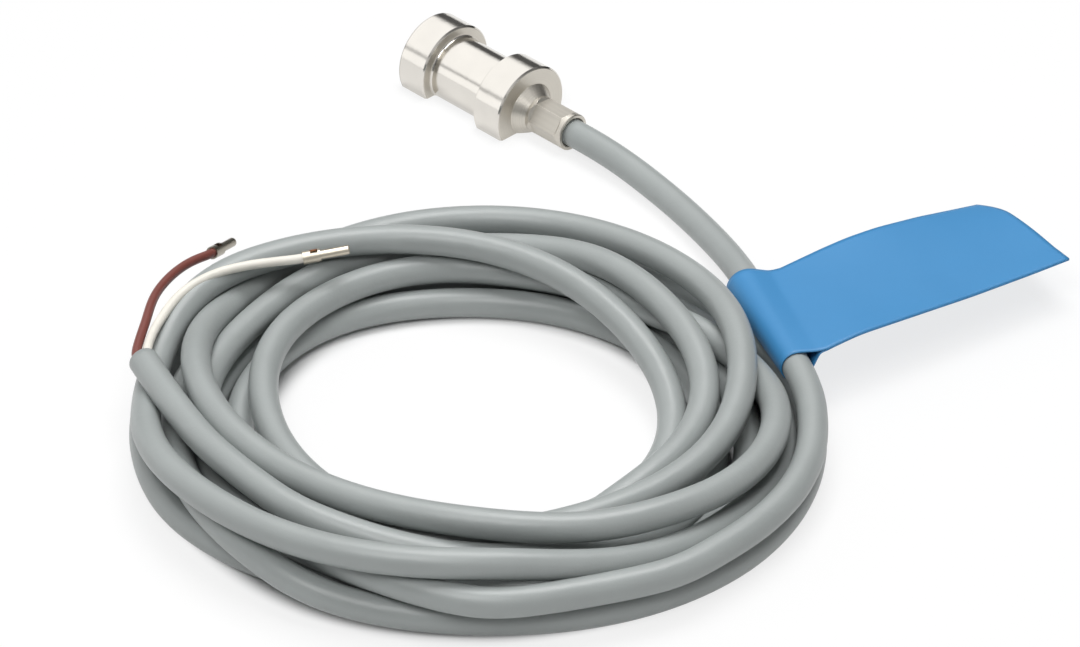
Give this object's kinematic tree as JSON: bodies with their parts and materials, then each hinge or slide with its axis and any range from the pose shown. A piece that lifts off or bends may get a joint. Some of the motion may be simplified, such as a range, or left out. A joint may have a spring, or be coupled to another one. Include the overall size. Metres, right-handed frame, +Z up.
{
  "type": "boiler temperature sensor",
  "caption": "Contact temperature sensor for a pipe: a spool-shaped metal head with one flat side, on a coiled grey two-core cable with a blank flag label and crimped contacts.",
  "frame": {"origin": "middle of the head's box at the height of its flat contact face, which lies on the surface", "axes": "+X along the head's axis from its closed end towards the cable, +Z up from the flat contact face, +Y to complete a right-handed frame"},
  "size_m": [0.147, 0.1661, 0.0166],
  "materials": {
    "nickel_plate": "turned brass, bright nickel plated, fine turning marks on the faces",
    "bead_resin": "dark resin coated glass bead",
    "tinned_wire": "bright tinned wire",
    "leg_sleeve": "thin natural plastic sleeve",
    "tinned_splice": "tinned butt splice",
    "shrink_sleeve": "black shrunk sleeve",
    "potting": "dark heat conducting compound",
    "cable_jacket": "smooth soft grey jacket with a slight gloss",
    "brown_insulation": "thin brown insulation, slightly glossy",
    "white_insulation": "thin white insulation, slightly glossy",
    "copper_strands": "bare copper strands",
    "label_film": "blue printed film, satin, folded round the cable as a flag",
    "contact_plate": "stamped sheet, tin plated"
  },
  "bodies": {
    "root": {"probe_body": "nickel_plate", "thermistor_bead": "bead_resin", "leg_brown": "tinned_wire", "leg_white": "tinned_wire", "leg_sleeve_brown": "leg_sleeve", "leg_sleeve_white": "leg_sleeve", "splice_brown": "tinned_splice", "splice_white": "tinned_splice", "shrink_sleeve_brown": "shrink_sleeve", "shrink_sleeve_white": "shrink_sleeve", "potting_compound": "potting", "jacket_end": "cable_jacket", "core_brown_head": "brown_insulation", "core_white_head": "white_insulation", "conductor_brown_head": "copper_strands", "conductor_white_head": "copper_strands", "cable_lead": "cable_jacket", "cable_coil": "cable_jacket", "cable_tail": "cable_jacket", "flag_label": "label_film", "wire_brown": "brown_insulation", "wire_white": "white_insulation", "crimp_pin_brown": "contact_plate", "crimp_pin_white": "contact_plate", "strands_brown": "copper_strands", "strands_white": "copper_strands"}
  },
  "joints": []
}
